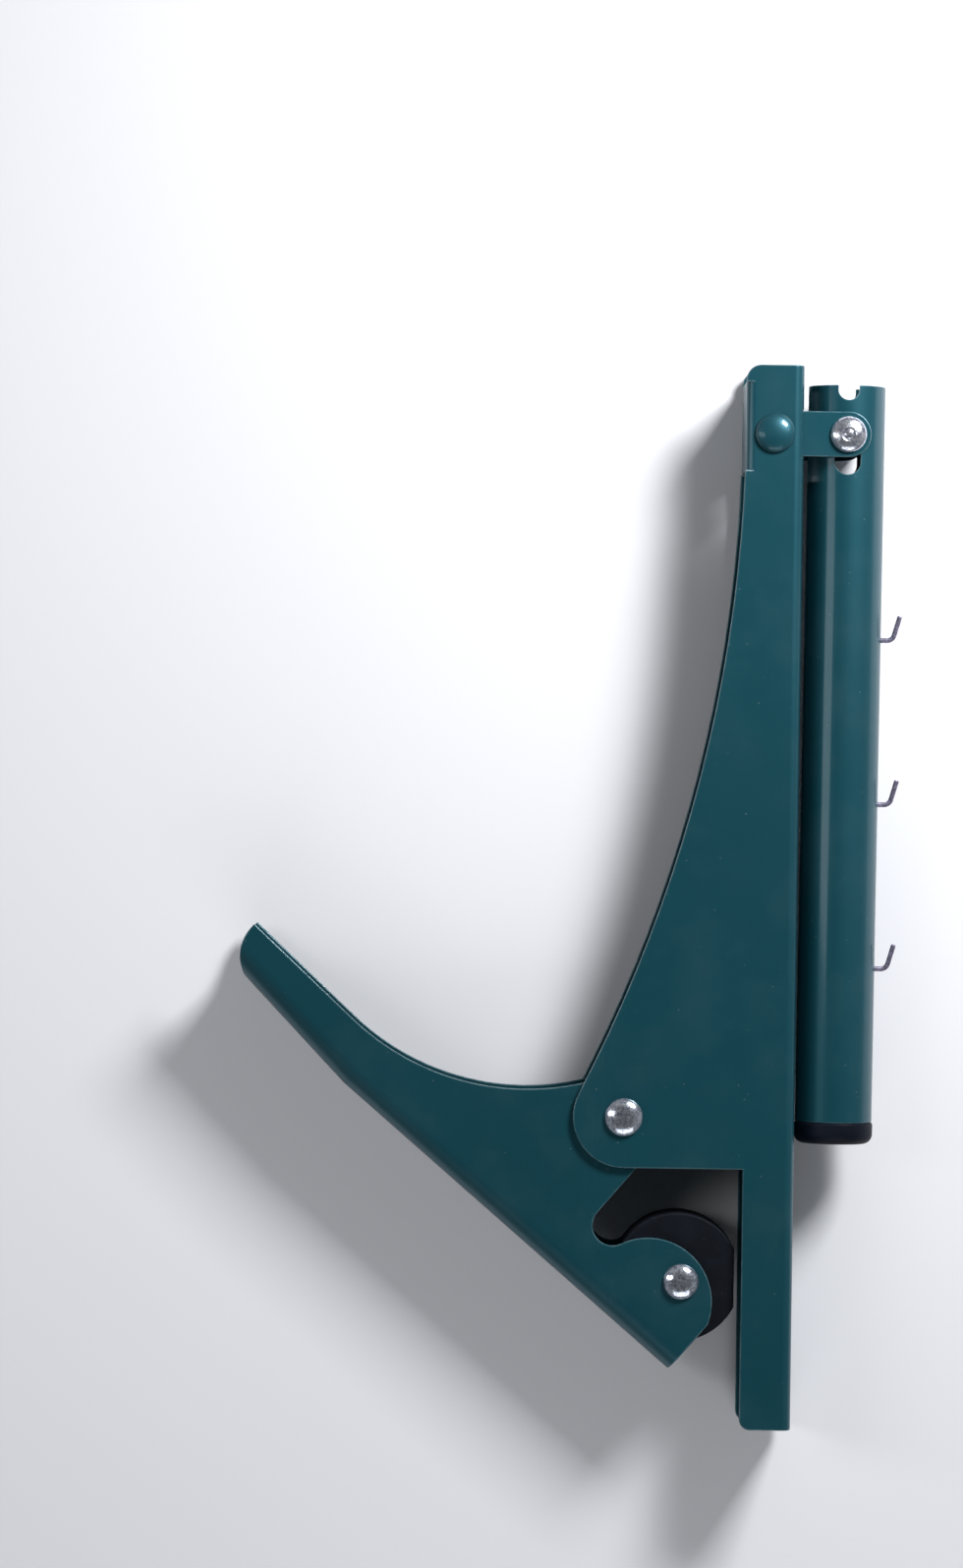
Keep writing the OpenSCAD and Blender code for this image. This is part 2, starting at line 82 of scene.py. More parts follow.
def joint_place(name: str) -> Vector:
    """Returns the point that the named joint turns about, in metres."""
    return Vector(next(j["pos_m"] for j in frame["joints"] if j["name"] == name))


@dataclass(frozen=True)
class Layout:
    """The axes that the clamp is laid out from, in metres.

    The folded post leans to the body by a part of a degree, and its hooks are
    given in millimetres along it from its rivet.
    """

    pivot: Vector = field(default_factory=lambda: joint_place("lever_squeeze"))
    jaw: Vector = field(default_factory=lambda: joint_place("pad_swivel"))
    post: Vector = field(default_factory=lambda: joint_place("post_swing"))
    lean: float = 0.32345
    hooks: dict[str, float] = field(
        default_factory=lambda: {
            "net_hook_top": -108.114,
            "net_hook_middle": -74.714,
            "net_hook_low": -41.314,
        }
    )

    @property
    def link(self) -> Vector:
        """The link rivet's axis at mid height."""
        low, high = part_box("link_rivet")
        return Vector(((low.x + high.x) / 2, self.post.y, self.post.z))


# ---------------- modelling


class Bench:
    """Modelling steps shared by the pieces, each with Blender's own operators.

    In a frame's mesh, points nearer than FRAME_FUSE become one, and so do
    faces that meet at less than FRAME_FLAT.
    """

    FRAME_FUSE = 0.02 * MM
    FRAME_FLAT = math.radians(0.6)
    BORE_SIDES = 48

    @staticmethod
    def clear_selection() -> None:
        """Leaves edit mode and deselects everything."""
        if bpy.context.mode != "OBJECT":
            bpy.ops.object.mode_set(mode="OBJECT")
        bpy.ops.object.select_all(action="DESELECT")

    @staticmethod
    def focus(piece: Object) -> None:
        """Selects one piece alone and makes it active."""
        Bench.clear_selection()
        piece.select_set(True)
        bpy.context.view_layer.objects.active = piece

    @staticmethod
    @contextmanager
    def editing(
        piece: Object, kind: str = "VERT", whole: bool = False
    ) -> Iterator[bmesh.types.BMesh]:
        """Opens a piece's mesh, with everything selected or nothing.

        Args:
            piece: The mesh object to edit.
            kind: VERT, EDGE or FACE, what the selection is made of.
            whole: Whether everything is selected.
        """
        Bench.focus(piece)
        bpy.ops.object.mode_set(mode="EDIT")
        bpy.ops.mesh.select_mode(type=kind)
        bpy.ops.mesh.select_all(action="SELECT" if whole else "DESELECT")
        yield bmesh.from_edit_mesh(piece.data)
        bpy.ops.object.mode_set(mode="OBJECT")

    @staticmethod
    def named(name: str) -> Object:
        """Names the piece that the last operator added, and returns it."""
        piece = bpy.context.active_object
        piece.name = piece.data.name = name
        return piece

    @staticmethod
    def settle(piece: Object) -> Object:
        """Puts a piece's place into its mesh and returns the piece."""
        Bench.focus(piece)
        bpy.ops.object.transform_apply(location=True, rotation=True, scale=True)
        return piece

    @staticmethod
    def modify(piece: Object, kind: str, **values: object) -> None:
        """Adds a modifier, sets its values and applies it.

        Args:
            piece: The mesh object.
            kind: The modifier's type, such as BEVEL.
            values: The modifier's own settings.
        """
        Bench.focus(piece)
        made = piece.modifiers.new(kind.title(), kind)
        for key, value in values.items():
            setattr(made, key, value)
        bpy.ops.object.modifier_apply(modifier=made.name)

    @staticmethod
    def round_edges(piece: Object, width: float, angle: float = 35, steps: int = 2) -> None:
        """Rounds the sharp edges of a piece.

        Args:
            piece: The mesh object.
            width: Width of the rounding, in millimetres.
            angle: Least angle of an edge that is rounded, in degrees.
            steps: Faces across the rounding.
        """
        Bench.modify(
            piece,
            "BEVEL",
            width=width * MM,
            segments=steps,
            limit_method="ANGLE",
            angle_limit=math.radians(angle),
            use_clamp_overlap=False,
            harden_normals=False,
        )

    @staticmethod
    def smooth(piece: Object, angle: float) -> None:
        """Shades a piece smooth, with sharp edges past an angle in degrees."""
        Bench.focus(piece)
        bpy.ops.object.shade_smooth_by_angle(angle=math.radians(angle))
        Bench.modify(piece, "WEIGHTED_NORMAL", keep_sharp=True, weight=80)

    @staticmethod
    def lean(piece: Object, layout: Layout) -> None:
        """Turns a piece of the post on its rivet until it lies as the frame's does."""
        with Bench.editing(piece, whole=True):
            bpy.ops.transform.rotate(
                value=math.radians(layout.lean), orient_axis="Z", center_override=layout.post
            )

    @staticmethod
    def close_up(piece: Object) -> None:
        """Merges doubled points and turns all faces outwards."""
        with Bench.editing(piece, whole=True):
            bpy.ops.mesh.remove_doubles(threshold=FUSE)
            bpy.ops.mesh.normals_make_consistent(inside=False)

    @staticmethod
    def cut(piece: Object, cutter: Object) -> None:
        """Cuts one solid out of another and deletes the cutter."""
        Bench.modify(piece, "BOOLEAN", object=cutter, operation="DIFFERENCE", solver="EXACT")
        bpy.data.objects.remove(cutter)

    @staticmethod
    def pressing(node: str) -> Object:
        """Returns a merged copy of a frame node, ready for its edges to be rounded."""
        source = frame["nodes"][node]
        copy = bpy.data.objects.new(f"{node}_pressing", source.data.copy())
        bpy.context.scene.collection.objects.link(copy)
        with Bench.editing(copy, whole=True):
            bpy.ops.mesh.remove_doubles(threshold=Bench.FRAME_FUSE)
            bpy.ops.mesh.dissolve_limited(angle_limit=Bench.FRAME_FLAT)
        return copy

    @staticmethod
    def drawn(name: str, places: Sequence[Vector]) -> Object:
        """Draws a line of edges through places given in metres."""
        Bench.clear_selection()
        bpy.ops.mesh.primitive_plane_add(size=MM, location=places[0])
        piece = Bench.settle(Bench.named(name))
        with Bench.editing(piece, whole=True):
            bpy.ops.mesh.merge(type="CENTER")
            for a, b in zip(places, places[1:]):
                bpy.ops.mesh.extrude_vertices_move(TRANSFORM_OT_translate={"value": b - a})
        return piece

    @staticmethod
    def wire(name: str, places: Sequence[Vector], width: float) -> Object:
        """Lays round wire along a line of places, as a closed mesh.

        Args:
            name: The new piece's name.
            places: Points of the wire's centre line, in metres.
            width: The wire's diameter, in millimetres.
        """
        Bench.focus(Bench.drawn(name, places))
        bpy.ops.object.convert(target="CURVE")
        line = bpy.context.active_object.data
        line.bevel_depth = width / 2 * MM
        line.bevel_resolution = 4
        line.use_fill_caps = True
        bpy.ops.object.convert(target="MESH")
        piece = bpy.context.active_object
        Bench.close_up(piece)
        return piece

    @staticmethod
    def turned(
        name: str, profile: Sequence[Point], at: Vector, along: str = "Z", steps: int = 72
    ) -> Object:
        """Turns a profile about an axis, as on a lathe, into a closed mesh.

        Args:
            name: The new piece's name.
            profile: Points (radius, distance along the axis), in millimetres.
            at: The axis point that distances count from, in metres.
            along: Z or Y, the axis.
            steps: Faces round the piece.
        """
        axis = Vector((0, 0, 1)) if along == "Z" else Vector((0, 1, 0))
        places = [at + Vector((r * MM, 0, 0)) + axis * (d * MM) for r, d in profile]
        piece = Bench.drawn(name, places)
        with Bench.editing(piece, whole=True):
            bpy.ops.mesh.spin(steps=steps, angle=math.tau, center=at, axis=axis)
        Bench.close_up(piece)
        return piece

    @staticmethod
    def rod(name: str, radius: float, length: float, at: Vector, **settings: object) -> Object:
        """Makes a rod round a place, along Z unless the settings turn it, all in metres."""
        values = {"vertices": Bench.BORE_SIDES, **settings}
        Bench.clear_selection()
        bpy.ops.mesh.primitive_cylinder_add(radius=radius, depth=length, location=at, **values)
        return Bench.settle(Bench.named(name))

    @staticmethod
    def extrude(way: Point) -> None:
        """Draws the selected faces out of the open mesh by an offset in metres."""
        bpy.ops.mesh.extrude_region_move(TRANSFORM_OT_translate={"value": way})

    @staticmethod
    def slot_block(name: str, width: float, low: Vector, high: Vector, depth: float) -> Object:
        """Makes a block with round ends, to cut a slot along Y.

        Args:
            name: The block's name.
            width: Width of the slot, in metres.
            low: Centre of its lower round end.
            high: Centre of its upper round end.
            depth: Height of the block along Z, in metres.
        """
        block = Bench.rod(name, width / 2, depth, low)
        hair = 1e-7
        with Bench.editing(block) as mesh:
            for v in mesh.verts:
                v.select_set(v.co.y > low.y + hair)
            mesh.select_flush_mode()
            bpy.ops.transform.translate(value=high - low)
        return block


# ---------------- materials


class Graph:
    """A node tree that is filled in a few readable steps."""

    def __init__(self, tree: bpy.types.NodeTree) -> None:
        """Keeps the tree to fill."""
        self.tree = tree

    def add(
        self, kind: str, inputs: dict[str | int, object] | None = None, **settings: object
    ) -> bpy.types.Node:
        """Adds a node and returns it.

        Args:
            kind: The node's type without its ShaderNode prefix.
            inputs: Values or sockets for its inputs, by name or number.
            settings: The node's own settings.
        """
        made = self.tree.nodes.new(kind if kind.startswith("Node") else "ShaderNode" + kind)
        for key, value in settings.items():
            setattr(made, key, value)
        for key, value in (inputs or {}).items():
            if isinstance(value, Socket):
                self.tree.links.new(value, made.inputs[key])
            else:
                made.inputs[key].default_value = value
        return made

    def math(self, operation: str, *values: float | Socket, clamp: bool = False) -> Socket:
        """Returns the result of a Math node on the given values."""
        made = self.add("Math", dict(enumerate(values)), operation=operation, use_clamp=clamp)
        return made.outputs[0]

    def noise(
        self, vector: Socket, scale: float | Socket, detail: float = 3, rough: float = 0.5
    ) -> Socket:
        """Returns a noise between 0 and 1 at a scale counted per metre."""
        return self.add(
            "TexNoise", {"Vector": vector, "Scale": scale, "Detail": detail, "Roughness": rough}
        ).outputs["Fac"]

    def ramp(
        self, value: Socket, low: float, high: float, to_low: float = 0, to_high: float = 1
    ) -> Socket:
        """Returns a value moved smoothly from one span to another."""
        spans = {"From Min": low, "From Max": high, "To Min": to_low, "To Max": to_high}
        made = self.add("MapRange", {"Value": value, **spans}, interpolation_type="SMOOTHSTEP")
        return made.outputs["Result"]

    def blend(self, mask: Socket, *ends: Socket | Colour) -> Socket:
        """Returns a colour mixed from the first end to the second by a mask."""
        factor, colour_a, colour_b, colour_out = 0, 6, 7, 2
        low, high = (end if isinstance(end, Socket) else rgba(end) for end in ends)
        inputs = {factor: mask, colour_a: low, colour_b: high}
        return self.add("Mix", inputs, data_type="RGBA").outputs[colour_out]

    def place(self) -> Socket:
        """Returns the piece's own coordinates, in metres."""
        return self.add("TexCoord").outputs["Object"]

    def stretched(self, vector: Socket, scale: Point, turn: Point) -> Socket:
        """Returns coordinates turned by degrees and scaled along each axis."""
        return self.add(
            "Mapping",
            {"Vector": vector, "Scale": scale, "Rotation": [math.radians(a) for a in turn]},
        ).outputs[0]


class Effect(Enum):
    """The surface effects that several finishes share."""

    EDGE_WEAR = "edge_wear"
    GRAIN = "fine_grain"
    SCRATCHES = "hairline_scratches"
    DUST = "settled_dust"
    MOTTLE = "plated_mottle"


class Effects:
    """Builds each shared effect once, as a node group.

    Attributes:
        INPUTS: The inputs of each effect with their defaults.
        OUTPUTS: The output of an effect and its kind, where it isn't a mask.
        EDGE_TURN: How far a normal turns where the edge mask starts and where it is full.
        EDGE_BREAKS: Span of the noise that breaks up the edge mask, and what it leaves.
        SCRATCH_WAYS: Direction in degrees and seed of each set of scratches.
        SCRATCH_SHAPE: How the noise is squeezed along each axis.
        SCRATCH_WIDTH: Part of the noise that a scratch takes up.
    """

    INPUTS: dict[Effect, dict[str, float]] = {
        Effect.EDGE_WEAR: {"Radius": 0.3 * MM, "Breakup": 400.0},
        Effect.GRAIN: {"Scale": 900.0, "Depth": 0.1, "Coarse": 0.3},
        Effect.SCRATCHES: {"Scale": 60.0, "Share": 0.3},
        Effect.DUST: {"Scale": 700.0, "Share": 0.2},
        Effect.MOTTLE: {"Scale": 900.0},
    }
    OUTPUTS: dict[Effect, tuple[str, str]] = {
        Effect.GRAIN: ("Normal", "NodeSocketVector"),
        Effect.MOTTLE: ("Value", "NodeSocketFloat"),
    }
    EDGE_TURN = (0.015, 0.14)
    EDGE_BREAKS = (0.34, 0.6, 0.35, 1.0)
    SCRATCH_WAYS = ((24, 0.0), (-57, 3.7))
    SCRATCH_SHAPE = (1, 0.045, 0.4)
    SCRATCH_WIDTH = 0.012

    @classmethod
    def group(cls, effect: Effect) -> bpy.types.NodeTree:
        """Returns the effect's node group, built on first use."""
        if effect.value in bpy.data.node_groups:
            return bpy.data.node_groups[effect.value]
        tree = bpy.data.node_groups.new(effect.value, "ShaderNodeTree")
        for name, default in cls.INPUTS[effect].items():
            made = tree.interface.new_socket(name, in_out="INPUT", socket_type="NodeSocketFloat")
            made.default_value = default
        name, kind = cls.OUTPUTS.get(effect, ("Mask", "NodeSocketFloat"))
        tree.interface.new_socket(name, in_out="OUTPUT", socket_type=kind)
        graph = Graph(tree)
        given = graph.add("NodeGroupInput").outputs
        result = getattr(cls, "_" + effect.name.lower())(graph, given)
        end = graph.add("NodeGroupOutput")
        tree.links.new(result, end.inputs[0])
        return tree

    @staticmethod
    def _edge_wear(graph: Graph, given: bpy.types.bpy_prop_collection) -> Socket:
        """Returns a mask of the outer edges, broken up along their length."""
        soft = graph.add("Bevel", {"Radius": given["Radius"]}, samples=6).outputs[0]
        true = graph.add("NewGeometry").outputs["True Normal"]
        same = graph.add("VectorMath", {0: soft, 1: true}, operation="DOT_PRODUCT")
        turn = graph.math("SUBTRACT", 1.0, same.outputs["Value"])
        edge = graph.ramp(turn, *Effects.EDGE_TURN)
        patches = graph.noise(graph.place(), given["Breakup"], 4, 0.6)
        left = graph.ramp(patches, *Effects.EDGE_BREAKS)
        return graph.math("MULTIPLY", edge, left, clamp=True)

    @staticmethod
    def _grain(graph: Graph, given: bpy.types.bpy_prop_collection) -> Socket:
        """Returns a normal with a fine skin over a coarser waviness."""
        place = graph.place()
        fine = graph.noise(place, given["Scale"], 2, 0.5)
        wide = graph.noise(place, graph.math("MULTIPLY", given["Scale"], 0.16), 2, 0.4)
        height = graph.math("MULTIPLY_ADD", wide, given["Coarse"], fine)
        return graph.add(
            "Bump", {"Height": height, "Strength": given["Depth"], "Distance": 0.05 * MM}
        ).outputs[0]

    @staticmethod
    def _scratches(graph: Graph, given: bpy.types.bpy_prop_collection) -> Socket:
        """Returns a mask of thin scratches in two directions."""
        place = graph.place()
        sets = []
        for turn, seed in Effects.SCRATCH_WAYS:
            lines = graph.stretched(place, Effects.SCRATCH_SHAPE, (0, 0, turn))
            seeds = {0: lines, 1: (seed, seed, seed)}
            shift = graph.add("VectorMath", seeds, operation="ADD").outputs[0]
            wave = graph.noise(shift, graph.math("MULTIPLY", given["Scale"], 28.0), 1, 0.4)
            off = graph.math("ABSOLUTE", graph.math("SUBTRACT", wave, 0.5))
            line = graph.ramp(off, 0.0, Effects.SCRATCH_WIDTH, 1, 0)
            where = graph.ramp(graph.noise(shift, given["Scale"], 2), 0.58, 0.66)
            sets.append(graph.math("MULTIPLY", line, where))
        both = graph.math("MAXIMUM", *sets)
        return graph.math("MULTIPLY", both, given["Share"], clamp=True)

    @staticmethod
    def _dust(graph: Graph, given: bpy.types.bpy_prop_collection) -> Socket:
        """Returns a mask of small specks in a faint uneven film."""
        place = graph.place()
        cell = graph.add("TexVoronoi", {"Vector": place, "Scale": given["Scale"]}, feature="F1")
        speck = graph.ramp(cell.outputs["Distance"], 0.05, 0.13, 1, 0)
        patches = graph.noise(place, graph.math("MULTIPLY", given["Scale"], 0.7), 0)
        rare = graph.ramp(patches, 0.62, 0.7)
        film = graph.ramp(graph.noise(place, 70.0, 4, 0.6), 0.4, 0.8, 0.0, 0.1)
        spread = graph.math("MAXIMUM", graph.math("MULTIPLY", speck, rare), film)
        return graph.math("MULTIPLY", spread, given["Share"], clamp=True)

    @staticmethod
    def _mottle(graph: Graph, given: bpy.types.bpy_prop_collection) -> Socket:
        """Returns a value that steps between the small crystals of a plating."""
        place = graph.place()
        cell = graph.add("TexVoronoi", {"Vector": place, "Scale": given["Scale"]}, feature="F1")
        step = graph.add("SeparateColor", {0: cell.outputs["Color"]}).outputs[0]
        soft = graph.noise(place, graph.math("MULTIPLY", given["Scale"], 0.3), 3)
        return graph.math("MULTIPLY_ADD", soft, 0.6, graph.math("MULTIPLY", step, 0.4))


def rgba(colour: Colour) -> tuple[float, float, float, float]:
    """Returns a colour given in screen values of 0 to 255 as linear light."""
    linear = [((c / 255 + 0.055) / 1.055) ** 2.4 if c > 10 else c / 3294.6 for c in colour]
    return (*linear, 1.0)


@dataclass(frozen=True)
class Finish:
    """What every finish of the clamp has."""

    name: str
    colour: Colour
    roughness: float

    def material(self) -> bpy.types.Material:
        """Returns the finish's material, built on first use."""
        if self.name in bpy.data.materials:
            return bpy.data.materials[self.name]
        made = bpy.data.materials.new(self.name)
        made.use_nodes = True
        made.node_tree.nodes.clear()
        graph = Graph(made.node_tree)
        shader = graph.add("BsdfPrincipled")
        end = graph.add("OutputMaterial")
        made.node_tree.links.new(shader.outputs[0], end.inputs[0])
        self.dress(graph, shader)
        made.diffuse_color = rgba(self.colour)
        return made

    def effect(self, graph: Graph, effect: Effect, **values: float) -> Socket:
        """Returns the output of a shared effect, placed with its own values."""
        made = graph.add("Group", node_tree=Effects.group(effect))
        for key, value in values.items():
            made.inputs[key.title()].default_value = value
        return made.outputs[0]

    def feed(self, shader: bpy.types.Node, **sockets: Socket | float) -> None:
        """Links or sets the shader's inputs, named with underscores for spaces."""
        names = {s.name.lower().replace(" ", "_"): s.name for s in shader.inputs}
        for key, value in sockets.items():
            target = shader.inputs[names[key]]
            if isinstance(value, Socket):
                shader.id_data.links.new(value, target)
            else:
                target.default_value = value

    def dress(self, graph: Graph, shader: bpy.types.Node) -> None:
        """Fills the material's tree; each finish has its own."""
        raise NotImplementedError

    def on(self, piece: Object) -> None:
        """Puts the finish on a piece."""
        piece.data.materials.clear()
        piece.data.materials.append(self.material())


@dataclass(frozen=True)
class Enamel(Finish):
    """Stoved enamel on sheet steel: a faint orange peel, and its sheet edges lightened as a
    painted highlight.
    """

    highlight_and_scratch_colour: Colour = (172, 198, 204)
    dust_colour: Colour = (150, 160, 165)
    sheen_colour: Colour = (140, 220, 246)
    shades: tuple[float, float] = (0.985, 1.02)
    peel: float = 0.12
    rim_share: float = 0.65
    marking: float = 0.15
    sheen: float = 0.65
    coat: float = 0.35
    coat_roughness: float = 0.1

    def dress(self, graph: Graph, shader: bpy.types.Node) -> None:
        """Fills the tree with drifting colour, edges lightened as a painted highlight, specks,
        pale scratches and peel.
        """
        drift = graph.ramp(graph.noise(graph.place(), 26.0, 4, 0.55), 0.3, 0.7)
        dark, light = (tuple(shade * c for c in self.colour) for shade in self.shades)
        body = graph.blend(drift, dark, light)
        # The sheet edges are lightened towards a pale colour: a painted highlight, as if their
        # rounding caught the light.
        edge = self.effect(graph, Effect.EDGE_WEAR, radius=0.35 * MM, breakup=500.0)
        edged = graph.blend(graph.math("MULTIPLY", edge, self.rim_share), body, self.highlight_and_scratch_colour)
        dust = self.effect(graph, Effect.DUST, scale=650.0, share=0.22)
        dusty = graph.blend(dust, edged, self.dust_colour)
        marks = self.effect(graph, Effect.SCRATCHES, scale=45.0, share=0.12)
        pale = graph.math("MULTIPLY", marks, self.marking)
        skin = graph.blend(pale, dusty, self.highlight_and_scratch_colour)
        haze = graph.ramp(graph.noise(graph.place(), 120.0, 3), 0.3, 0.7, -0.01, 0.01)
        rough = graph.math("ADD", graph.math("MULTIPLY_ADD", dust, 0.3, self.roughness), haze)
        self.feed(
            shader,
            base_color=skin,
            roughness=graph.math("MULTIPLY_ADD", marks, 0.2, rough),
            normal=self.effect(graph, Effect.GRAIN, scale=1400.0, depth=self.peel, coarse=1.6),
            specular_ior_level=self.sheen,
            specular_tint=rgba(self.sheen_colour),
            coat_weight=self.coat,
            coat_roughness=self.coat_roughness,
        )


@dataclass(frozen=True)
class BrightZinc(Finish):
    """Bright zinc plate on a rivet: fine crystals, hairlines, dull between the crystals and along
    the hairlines.
    """

    dull_colour: Colour = (142, 151, 172)
    dents: float = 0.05
    metal: float = 0.88

    def dress(self, graph: Graph, shader: bpy.types.Node) -> None:
        """Fills the tree with plating crystals, hairlines and tool marks."""
        crystal = self.effect(graph, Effect.MOTTLE, scale=3600.0)
        marks = self.effect(graph, Effect.SCRATCHES, scale=320.0, share=0.7)
        tone = graph.ramp(crystal, 0.2, 0.75)
        plate = graph.blend(tone, self.dull_colour, self.colour)
        rough = graph.math("MULTIPLY_ADD", crystal, 0.1, self.roughness)
        wide = graph.noise(graph.place(), 620.0, 2, 0.5)
        bump = graph.add("Bump", {"Height": wide, "Strength": self.dents, "Distance": 0.12 * MM})
        self.feed(
            shader,
            base_color=graph.blend(marks, plate, self.dull_colour),
            roughness=graph.math("MULTIPLY_ADD", marks, 0.25, rough),
            metallic=self.metal,
            normal=bump.outputs[0],
        )


@dataclass(frozen=True)
class MouldedRubber(Finish):
    """Black rubber: a matt grain, pale rims that are partly scuffs and partly a painted highlight,
    a mould line.
    """

    rim_and_dust_colour: Colour = (84, 90, 104)
    line_height: float = 12.65 * MM
    bloom: float = 1.5
    rim_share: float = 0.5
    sheen: float = 0.08

    def dress(self, graph: Graph, shader: bpy.types.Node) -> None:
        """Fills the tree with grain, rims lightened partly as scuffs and partly as a painted
        highlight, bloom and the mould line.
        """
        place = graph.place()
        bloom = graph.ramp(graph.noise(place, 150.0, 5, 0.65), 0.35, 0.75)
        pale = tuple(self.bloom * c for c in self.colour)
        body = graph.blend(bloom, self.colour, pale)
        # The pad's rims are lightened: partly scuffing, partly a painted highlight of their
        # rounding.
        edge = self.effect(graph, Effect.EDGE_WEAR, radius=0.6 * MM, breakup=700.0)
        dust = self.effect(graph, Effect.DUST, scale=900.0, share=0.3)
        edged = graph.blend(graph.math("MULTIPLY", edge, self.rim_share), body, self.rim_and_dust_colour)
        up = graph.add("SeparateXYZ", {0: place}).outputs["Z"]
        off = graph.math("ABSOLUTE", graph.math("SUBTRACT", up, self.line_height))
        line = graph.ramp(off, 0.04 * MM, 0.12 * MM, 1, 0)
        skin = self.effect(graph, Effect.GRAIN, scale=2600.0, depth=0.5, coarse=0.8)
        raised = {"Height": line, "Strength": 0.6, "Distance": 0.08 * MM, "Normal": skin}
        bump = graph.add("Bump", raised)
        self.feed(
            shader,
            base_color=graph.blend(dust, edged, self.rim_and_dust_colour),
            roughness=graph.math("MULTIPLY_ADD", bloom, 0.12, self.roughness),
            normal=bump.outputs[0],
            specular_ior_level=self.sheen,
        )


@dataclass(frozen=True)
class MouldedPlastic(Finish):
    """Dark satin plastic with the even grain of its mould."""

    rim_and_dust_colour: Colour = (50, 54, 68)
    flow: float = 1.2
    rim_share: float = 0.45
    sheen: float = 0.12

    def dress(self, graph: Graph, shader: bpy.types.Node) -> None:
        """Fills the tree with mould grain, rubbed edges and dust."""
        flow = graph.ramp(graph.noise(graph.place(), 180.0, 3), 0.3, 0.7)
        pale = tuple(self.flow * c for c in self.colour)
        body = graph.blend(flow, self.colour, pale)
        edge = self.effect(graph, Effect.EDGE_WEAR, radius=0.5 * MM, breakup=600.0)
        dust = self.effect(graph, Effect.DUST, scale=800.0, share=0.3)
        rub = graph.math("MULTIPLY", edge, self.rim_share)
        rubbed = graph.blend(rub, body, self.rim_and_dust_colour)
        self.feed(
            shader,
            base_color=graph.blend(dust, rubbed, self.rim_and_dust_colour),
            roughness=graph.math("MULTIPLY_ADD", flow, 0.08, self.roughness),
            normal=self.effect(graph, Effect.GRAIN, scale=3400.0, depth=0.35, coarse=0.4),
            specular_ior_level=self.sheen,
        )


@dataclass(frozen=True)
class DrawnWire(Finish):
    """Drawn steel wire: grey, with streaks and dull spots."""

    dark_colour: Colour = (92, 90, 106)
    metal: float = 0.7

    def dress(self, graph: Graph, shader: bpy.types.Node) -> None:
        """Fills the tree with dull spots and fine drawing streaks."""
        spots = graph.ramp(graph.noise(graph.place(), 1300.0, 4, 0.6), 0.35, 0.7)
        marks = self.effect(graph, Effect.SCRATCHES, scale=400.0, share=0.8)
        body = graph.blend(spots, self.dark_colour, self.colour)
        self.feed(
            shader,
            base_color=graph.blend(marks, body, self.colour),
            roughness=graph.math("MULTIPLY_ADD", spots, -0.12, self.roughness),
            metallic=self.metal,
            normal=self.effect(graph, Effect.GRAIN, scale=5000.0, depth=0.3, coarse=0.5),
        )


ENAMEL = Enamel("teal_enamel", (12, 54, 63), 0.4)
ZINC = BrightZinc("bright_zinc", (224, 229, 238), 0.13)
PEENED = BrightZinc("peened_zinc", (222, 224, 230), 0.16, dents=0.4)
RUBBER = MouldedRubber("jaw_rubber", (11, 14, 20), 0.66)
PLASTIC = MouldedPlastic("moulded_plastic", (8, 13, 23), 0.45)
HOOK_WIRE = DrawnWire("drawn_hook_wire", (150, 146, 172), 0.42)
SPRING_WIRE = DrawnWire("drawn_spring_wire", (150, 152, 156), 0.34)


# ---------------- pieces


@dataclass
class Pressings:
    """The three pieces pressed from sheet: body, lever and link bracket."""

    edge_round: float = 0.28
    proud: float = 0.01
    bodies: dict[str, str] = field(
        default_factory=lambda: {"main_body": "body", "lever": "lever", "link_bracket": "body"}
    )

    def build(self) -> list[Object]:
        """Returns the pressings with rounded sheet edges and their enamel."""
        made = []
        for node, body in self.bodies.items():
            piece = Bench.pressing(node)
            self._round_sheet(piece)
            Bench.smooth(piece, 32)
            ENAMEL.on(piece)
            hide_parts(node)
            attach(piece, body)
            made.append(piece)
        return made

    def _round_sheet(self, piece: Object) -> None:
        """Rounds the sheet's edges, and brings points that stray at tight corners to its skin."""
        with Bench.editing(piece) as mesh:
            skin = BVHTree.FromBMesh(mesh)
        Bench.round_edges(piece, self.edge_round)
        with Bench.editing(piece) as mesh:
            for v in mesh.verts:
                place, normal, _, gap = skin.find_nearest(v.co)
                over = (v.co - place).dot(normal)
                if gap > self.edge_round / 2 * MM or over > self.proud * MM:
                    v.co = place
        Bench.close_up(piece)


class Head(Enum):
    """How a rivet's head is finished."""

    DOME = "dome"
    PEENED = "peened"
    BUTTON = "button"


@dataclass
class RivetSize:
    """Sizes of one rivet, in millimetres."""

    node: str
    body: str
    slot: str
    shank: float
    width: float
    height: float
    top: Head
    bottom: Head
    finish: Finish


RIVETS = (
    RivetSize("pivot_rivet", "body", "zinc", 4.8, 7.7, 1.9, Head.DOME, Head.PEENED, ZINC),
    RivetSize("jaw_rivet", "lever", "zinc", 4.0, 7.2, 1.9, Head.DOME, Head.PEENED, ZINC),
    RivetSize("post_rivet", "post_pivot", "zinc", 5.0, 7.4, 1.9, Head.PEENED, Head.DOME, PEENED),
    RivetSize("link_rivet", "body", "paint", 3.8, 8.0, 2.0, Head.DOME, Head.BUTTON, ENAMEL),
)


